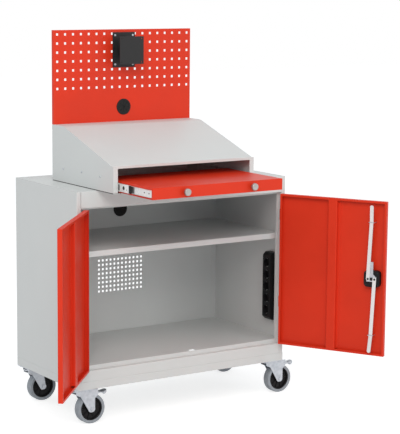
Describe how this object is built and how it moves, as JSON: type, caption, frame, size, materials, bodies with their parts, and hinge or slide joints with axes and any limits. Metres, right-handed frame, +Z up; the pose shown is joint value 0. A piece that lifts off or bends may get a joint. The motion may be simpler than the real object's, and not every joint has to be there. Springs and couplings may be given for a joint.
{
  "type": "computer cabinet",
  "caption": "Mobile sheet-steel computer cabinet: hinged doors with a rod lock, inner shelf, sloping console with keyboard drawer, perforated back panel, swivel castors.",
  "frame": {"origin": "on the floor, under the centre of the carcass", "axes": "+Z up, -Y out of the door side, +X to the right of a person facing the doors"},
  "size_m": [1.5733, 0.9988, 1.614],
  "materials": {
    "red_paint": "satin powder coat",
    "grey_paint": "satin powder coat",
    "black_paint": "matt powder coat",
    "zinc_steel": "bright zinc plate",
    "bright_steel": "satin nickel",
    "black_plastic": "moulded",
    "black_rubber": "matt",
    "tyre_rubber": "non-marking grey rubber"
  },
  "bodies": {
    "cabinet": {"side_panel_left": "grey_paint", "side_panel_right": "grey_paint", "top_panel": "grey_paint", "floor_panel": "grey_paint", "back_panel": "grey_paint", "cable_grommets": "black_rubber", "base_cross_rails": "grey_paint", "base_side_rails": "grey_paint", "base_gussets": "grey_paint", "shelf": "grey_paint", "shelf_clips": "zinc_steel", "socket_strip": "black_plastic", "console_cheek_left": "grey_paint", "console_cheek_right": "grey_paint", "console_lid": "grey_paint", "console_back": "grey_paint", "console_base": "grey_paint", "perforated_panel": "red_paint", "bracket_wall_plate": "black_paint", "slide_outer_rails": "bright_steel", "slide_brackets": "grey_paint", "frame_leaves": "red_paint", "castor_plates": "zinc_steel"},
    "left_door": {"door_panel_left": "red_paint", "door_stiffener_left": "red_paint", "door_leaves_left": "red_paint"},
    "right_door": {"door_panel_right": "red_paint", "door_stiffener_right": "red_paint", "door_leaves_right": "red_paint", "lock_housing": "black_plastic", "rod_guides": "zinc_steel", "lock_rose": "black_plastic"},
    "lock": {"lock_cam": "zinc_steel", "wing_knob": "black_plastic"},
    "upper_rod": {"lock_rod_upper": "bright_steel"},
    "lower_rod": {"lock_rod_lower": "bright_steel"},
    "drawer": {"drawer_tray": "red_paint", "drawer_knobs": "bright_steel", "slide_inner_rails": "bright_steel"},
    "slide_middle": {"slide_middle_rails": "bright_steel"},
    "monitor_arm": {"bracket_swivel_arm": "black_paint"},
    "monitor_head": {"bracket_tilt_plate": "black_paint"},
    "fork_front_left": {"castor_fork_front_left": "zinc_steel"},
    "rolling_wheel_front_left": {"wheel_front_left": "tyre_rubber"},
    "pedal_front_left": {"brake_pedal_front_left": "zinc_steel"},
    "fork_front_right": {"castor_fork_front_right": "zinc_steel"},
    "rolling_wheel_front_right": {"wheel_front_right": "tyre_rubber"},
    "pedal_front_right": {"brake_pedal_front_right": "zinc_steel"},
    "fork_rear_left": {"castor_fork_rear_left": "zinc_steel"},
    "rolling_wheel_rear_left": {"wheel_rear_left": "tyre_rubber"},
    "fork_rear_right": {"castor_fork_rear_right": "zinc_steel"},
    "rolling_wheel_rear_right": {"wheel_rear_right": "tyre_rubber"}
  },
  "joints": [
    {"name": "left_door_hinge", "type": "hinge", "parent": "cabinet", "child": "left_door", "pos_m": [-0.499, -0.278, 0.574], "axis": [0, 0, -1], "range_deg": [-131, 49]},
    {"name": "right_door_hinge", "type": "hinge", "parent": "cabinet", "child": "right_door", "pos_m": [0.499, -0.278, 0.574], "axis": [0, 0, 1], "range_deg": [-119, 61]},
    {"name": "lock_turn", "type": "hinge", "parent": "right_door", "child": "lock", "pos_m": [0.68292, -0.67684, 0.574], "axis": [0.8746, 0.4848, 0], "range_deg": [0, 90]},
    {"name": "upper_rod_pivot", "type": "hinge", "parent": "lock", "child": "upper_rod", "pos_m": [0.67276, -0.66532, 0.574], "axis": [0.8746, 0.4848, 0], "range_deg": [-95, 1]},
    {"name": "lower_rod_pivot", "type": "hinge", "parent": "lock", "child": "lower_rod", "pos_m": [0.68731, -0.69156, 0.574], "axis": [0.8746, 0.4848, 0], "range_deg": [-95, 1]},
    {"name": "drawer_slide", "type": "slide", "parent": "cabinet", "child": "drawer", "axis": [0, -1, 0], "range_m": [-0.247, 0.1]},
    {"name": "slide_middle_travel", "type": "slide", "parent": "cabinet", "child": "slide_middle", "axis": [0, -1, 0], "range_m": [-0.125, 0.051]},
    {"name": "monitor_swivel", "type": "hinge", "parent": "cabinet", "child": "monitor_arm", "pos_m": [-0.0845, 0.073, 1.527], "axis": [0, 0, 1], "range_deg": [-30, 30]},
    {"name": "monitor_tilt", "type": "hinge", "parent": "monitor_arm", "child": "monitor_head", "pos_m": [-0.0845, 0.043, 1.527], "axis": [1, 0, 0], "range_deg": [-5, 15]},
    {"name": "swivel_front_left", "type": "hinge", "parent": "cabinet", "child": "fork_front_left", "pos_m": [-0.482, -0.215, 0.1417], "axis": [0, 0, 1], "continuous": true},
    {"name": "roll_front_left", "type": "hinge", "parent": "fork_front_left", "child": "rolling_wheel_front_left", "pos_m": [-0.432, -0.215, 0.0625], "axis": [0, 1, 0], "continuous": true},
    {"name": "brake_front_left", "type": "hinge", "parent": "fork_front_left", "child": "pedal_front_left", "pos_m": [-0.424, -0.215, 0.1327], "axis": [0, 1, 0], "range_deg": [0, 10]},
    {"name": "swivel_front_right", "type": "hinge", "parent": "cabinet", "child": "fork_front_right", "pos_m": [0.482, -0.215, 0.1417], "axis": [0, 0, 1], "continuous": true},
    {"name": "roll_front_right", "type": "hinge", "parent": "fork_front_right", "child": "rolling_wheel_front_right", "pos_m": [0.532, -0.215, 0.0625], "axis": [0, 1, 0], "continuous": true},
    {"name": "brake_front_right", "type": "hinge", "parent": "fork_front_right", "child": "pedal_front_right", "pos_m": [0.54, -0.215, 0.1327], "axis": [0, 1, 0], "range_deg": [0, 10]},
    {"name": "swivel_rear_left", "type": "hinge", "parent": "cabinet", "child": "fork_rear_left", "pos_m": [-0.482, 0.215, 0.1417], "axis": [0, 0, 1], "continuous": true},
    {"name": "roll_rear_left", "type": "hinge", "parent": "fork_rear_left", "child": "rolling_wheel_rear_left", "pos_m": [-0.432, 0.215, 0.0625], "axis": [0, 1, 0], "continuous": true},
    {"name": "swivel_rear_right", "type": "hinge", "parent": "cabinet", "child": "fork_rear_right", "pos_m": [0.482, 0.215, 0.1417], "axis": [0, 0, 1], "continuous": true},
    {"name": "roll_rear_right", "type": "hinge", "parent": "fork_rear_right", "child": "rolling_wheel_rear_right", "pos_m": [0.532, 0.215, 0.0625], "axis": [0, 1, 0], "continuous": true}
  ],
  "couplings": [
    {"joint": "upper_rod_pivot", "follows": "lock_turn", "ratio": -1.0299},
    {"joint": "lower_rod_pivot", "follows": "lock_turn", "ratio": -1.0299},
    {"joint": "slide_middle_travel", "follows": "drawer_slide", "ratio": 0.5}
  ]
}
